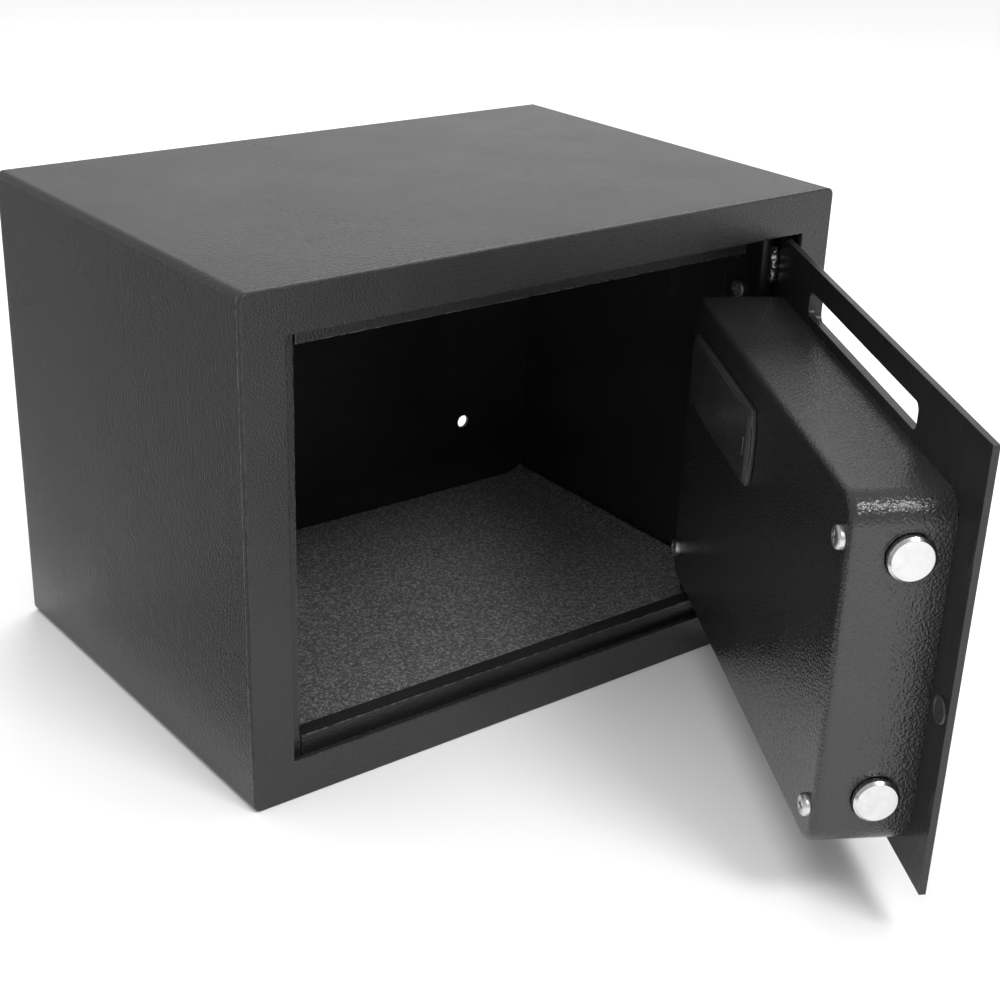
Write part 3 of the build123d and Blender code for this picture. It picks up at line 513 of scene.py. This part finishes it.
def loft(shape, rings):
    """Joins rings of points that have the same count, and closes both ends."""
    layers = [[shape.verts.new(point) for point in ring] for ring in rings]
    for low, high in zip(layers, layers[1:]):
        for step in range(len(low)):
            after = (step + 1) % len(low)
            shape.faces.new((low[step], low[after], high[after], high[step]))
    shape.faces.new(layers[0])
    shape.faces.new(layers[-1])


# ---- Felt mat: it fills the floor and curls up along the hinge-side wall -------------------------
CURL_WIDTH = 11 * MM
CURL_RISE = 5.5 * MM
MAT_CELL = 2.5 * MM


def mat_lift(place, low, high):
    """How far the mat stands off the floor at a place."""
    from_side = high.x - place.x
    back_share = (place.y - low.y) / (high.y - low.y)
    curl = max(0.0, 1.0 - from_side / CURL_WIDTH) ** 2 * CURL_RISE * (0.35 + 0.65 * back_share)
    from_back = high.y - place.y
    curl += max(0.0, 1.0 - from_back / CURL_WIDTH) ** 2 * CURL_RISE * 0.25
    waves = noise.noise(Vector((place.x * 14.0, place.y * 14.0, 0.3)))
    return curl + 0.35 * MM * (waves + 1.0)


def build_mat():
    low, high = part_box("floor_mat")
    across = int((high.x - low.x) / MAT_CELL)
    along = int((high.y - low.y) / MAT_CELL)
    shape = bmesh.new()
    sheets = []
    for height in (low.z, high.z):
        sheet = []
        for row in range(along + 1):
            for column in range(across + 1):
                place = Vector((
                    low.x + (high.x - low.x) * column / across,
                    low.y + (high.y - low.y) * row / along,
                    height,
                ))
                ragged = noise.noise(place * 260.0) * 0.35 * MM
                fuzz = noise.noise(place * 900.0) * 0.12 * MM
                lift = mat_lift(place, low, high)
                if row in (0, along):
                    place.y += -abs(ragged) if row else abs(ragged)
                if column in (0, across):
                    place.x += -abs(ragged) if column else abs(ragged)
                place.z += max(0.0, lift + fuzz)
                sheet.append(shape.verts.new(place))
        sheets.append(sheet)
    width = across + 1
    for sheet in sheets:
        for row in range(along):
            for column in range(across):
                start = row * width + column
                shape.faces.new((
                    sheet[start], sheet[start + 1], sheet[start + 1 + width], sheet[start + width]
                ))
    rim = list(range(across))
    rim += [across + row * width for row in range(along)]
    rim += [along * width + column for column in range(across, 0, -1)]
    rim += [row * width for row in range(along, 0, -1)]
    for start, after in zip(rim, rim[1:] + rim[:1]):
        shape.faces.new((sheets[0][start], sheets[0][after], sheets[1][after], sheets[1][start]))
    mat = piece("felt_mat", shape, felt, "cabinet")
    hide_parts("floor_mat")


build_mat()


# ---- Weld beads beside the hinge rods ------------------------------------------------------------
WELD_LENGTH = 20 * MM
WELD_RINGS = 60
WELD_TURNS = 20


def build_welds():
    low, high = shut_box("hinge_welds")
    leg = high.x - low.x
    shape = bmesh.new()
    for start in (low.z, high.z - WELD_LENGTH):
        rings = []
        for step in range(WELD_RINGS + 1):
            share = step / WELD_RINGS
            height = start + WELD_LENGTH * share
            lump = noise.noise(Vector((0.7, 0.0, height * 330.0)))
            drift = 0.5 * MM * noise.noise(Vector((4.1, 0.0, height * 210.0)))
            close = (1.0 - (2.0 * share - 1.0) ** 8) ** 0.5
            radius = leg * (0.52 + 0.2 * lump) * (0.25 + 0.75 * close)
            ring = []
            for turn in range(WELD_TURNS):
                angle = 2 * pi * turn / WELD_TURNS
                way = Vector((cos(angle), sin(angle), 0.0))
                seed = way * 1.6 + Vector((0.0, 0.0, height * 520.0))
                reach = radius * (1.0 + 0.3 * noise.noise(seed))
                centre = Vector((high.x - leg * 0.42 + drift, low.y + leg * 0.40, height))
                point = centre + way * reach
                point.y = max(point.y, low.y - 0.2 * MM)
                ring.append(point)
            rings.append(ring)
        loft(shape, rings)
    beads = piece("weld_beads", shape, weld, "door", door_part=True)
    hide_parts("hinge_welds")


build_welds()


# ---- Battery cover -------------------------------------------------------------------------------
LID_CORNER = 2.2 * MM
LIP_BOW = 2.6 * MM
LIP_STEPS = 32
LIP_FROM_END = 2.4 * MM
LIP_ROOT = 1.0 * MM
STUD_SPREAD = 9.0 * MM
RIB_LEFT = 4.6
RIB_RIGHT = 6.4
RIB_HALF = 4.5


def lid_piece(name, shape):
    """A piece of the battery cover, in its plastic, whose paler edges are a painted highlight."""
    return piece(
        name, shape, lid_plastic, "battery_cover", door_part=True, smooth=False
    )


def build_lid(low, high):
    """The lid: a plate with rounded corners and a broad chamfer round its face."""
    rise = high.y - low.y
    levels = [
        (low.y, 0.25 * MM),
        (low.y + 0.25 * MM, 0.0),
        (low.y + rise * 0.55, 0.0),
        (high.y - 0.35 * MM, 1.3 * MM),
        (high.y - 0.08 * MM, 1.65 * MM),
        (high.y, 2.1 * MM),
    ]
    rings = []
    for depth, inset in levels:
        outline = rounded_outline(
            (low.x + inset, low.z + inset), (high.x - inset, high.z - inset), LID_CORNER
        )
        rings.append([Vector((across, depth, up)) for across, up in outline])
    shape = bmesh.new()
    loft(shape, rings)
    cover = lid_piece("battery_lid", shape)
    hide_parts("battery_cover")


def build_thumb_lip(low, middle, half):
    """A bowed lip that stands out of the lid's free end."""
    rings = []
    for depth, inset in ((0.1, 0.2), (0.3, 0.0), (1.5, 0.0), (1.8, 0.3)):
        level = low.y + depth * MM
        ring = []
        for step in range(LIP_STEPS + 1):
            share = 2.0 * step / LIP_STEPS - 1.0
            reach = (LIP_BOW - inset * MM) * (1.0 - share ** 2) ** 0.6
            ring.append(Vector((low.x - reach, level, middle + half * share)))
        ring.append(Vector((low.x + LIP_ROOT, level, middle + half)))
        ring.append(Vector((low.x + LIP_ROOT, level, middle - half)))
        rings.append(ring)
    shape = bmesh.new()
    loft(shape, rings)
    lid_piece("battery_lid_grip", shape)


def build_lid_marks(low, high, middle):
    """Two studs on the lid's end chamfer and a plain rib on its face."""
    shape = bmesh.new()
    profile = [(0.0, -0.8), (0.8, -0.8), (0.75, 0.5), (0.4, 0.75), (0.0, 0.8)]
    for side in (-1, 1):
        lathe(
            shape,
            [(radius * MM, reach * MM) for radius, reach in profile],
            Vector((low.x + 0.3 * MM, low.y + 2.5 * MM, middle + side * STUD_SPREAD)),
            Vector((-0.8, 0.6, 0.0)),
            Vector((0.0, 0.0, 1.0)),
            24,
        )
    rings = []
    for depth, inset in ((-0.1, 0.0), (0.25, 0.0), (0.35, 0.15)):
        outline = rounded_outline(
            (low.x + (RIB_LEFT + inset) * MM, middle - (RIB_HALF - inset) * MM),
            (low.x + (RIB_RIGHT - inset) * MM, middle + (RIB_HALF - inset) * MM),
            0.7 * MM,
        )
        rings.append([Vector((across, high.y + depth * MM, up)) for across, up in outline])
    loft(shape, rings)
    lid_piece("battery_lid_marks", shape)


def build_battery_cover():
    low, high = shut_box("battery_cover")
    middle = (low.z + high.z) / 2
    build_lid(low, high)
    build_thumb_lip(low, middle, (high.z - low.z) / 2 - LIP_FROM_END)
    build_lid_marks(low, high, middle)


build_battery_cover()


# ---- Key legends and knob pointer ----------------------------------------------------------------
LEGENDS = {"clear": "*", "enter": "#"}


def build_legend(key):
    """A raised printed character on the middle of a key."""
    low, high = shut_box("key_" + key)
    text = bpy.data.curves.new("legend_text", "FONT")
    text.body = LEGENDS.get(key, key)
    text.size = 8.5 * MM
    text.align_x = "CENTER"
    text.align_y = "CENTER"
    text.extrude = 0.08 * MM
    text.resolution_u = 4
    writer = bpy.data.objects.new("legend_text", text)
    mesh = bpy.data.meshes.new_from_object(writer)
    bpy.data.objects.remove(writer)
    bpy.data.curves.remove(text)
    shape = bmesh.new()
    shape.from_mesh(mesh)
    bpy.data.meshes.remove(mesh)
    stand = Matrix.Translation(((low.x + high.x) / 2, low.y - 0.05 * MM, (low.z + high.z) / 2))
    shape.transform(stand @ Matrix.Rotation(radians(90.0), 4, "X"))
    bmesh.ops.remove_doubles(shape, verts=shape.verts, dist=0.001 * MM)
    piece("legend_" + key, shape, print_ink, "key_" + key, door_part=True, smooth=False)


for node_name in nodes:
    if node_name.startswith("key_"):
        build_legend(node_name[len("key_"):])


def build_pointer():
    low, high = shut_box("knob")
    middle = (low + high) / 2
    shape = bmesh.new()
    rings = []
    for depth, inset in ((low.y + 0.3 * MM, 0.0), (low.y - 0.2 * MM, 0.0), (low.y - 0.3 * MM, 0.2 * MM)):
        outline = rounded_outline(
            (middle.x - 0.9 * MM + inset, middle.z + 5 * MM + inset),
            (middle.x + 0.9 * MM - inset, middle.z + 17 * MM - inset),
            0.6 * MM,
        )
        rings.append([Vector((across, depth, up)) for across, up in outline])
    loft(shape, rings)
    piece("knob_pointer", shape, print_ink, "knob_work", door_part=True, smooth=False)


build_pointer()


# ---- Plug in the door plate ------------------------------------------------------------------------
def build_plate_plug():
    """The round plug with a low raised rim, near the free edge of the plate's inner face; its paler rim is a
    painted highlight.
    """
    low, high = shut_box("door_plate")
    shape = bmesh.new()
    profile = [(0.0, -0.2), (6.2, -0.2), (6.2, 0.5), (5.8, 0.9), (5.2, 0.9), (4.7, 0.45), (0.0, 0.4)]
    lathe(
        shape,
        [(radius * MM, reach * MM) for radius, reach in profile],
        Vector((low.x + 8.2 * MM, high.y, low.z + 84.7 * MM)),
        Vector((0.0, 1.0, 0.0)),
        Vector((1.0, 0.0, 0.0)),
    )
    piece("plate_plug", shape, lid_plastic, "door", door_part=True, smooth=False)


build_plate_plug()
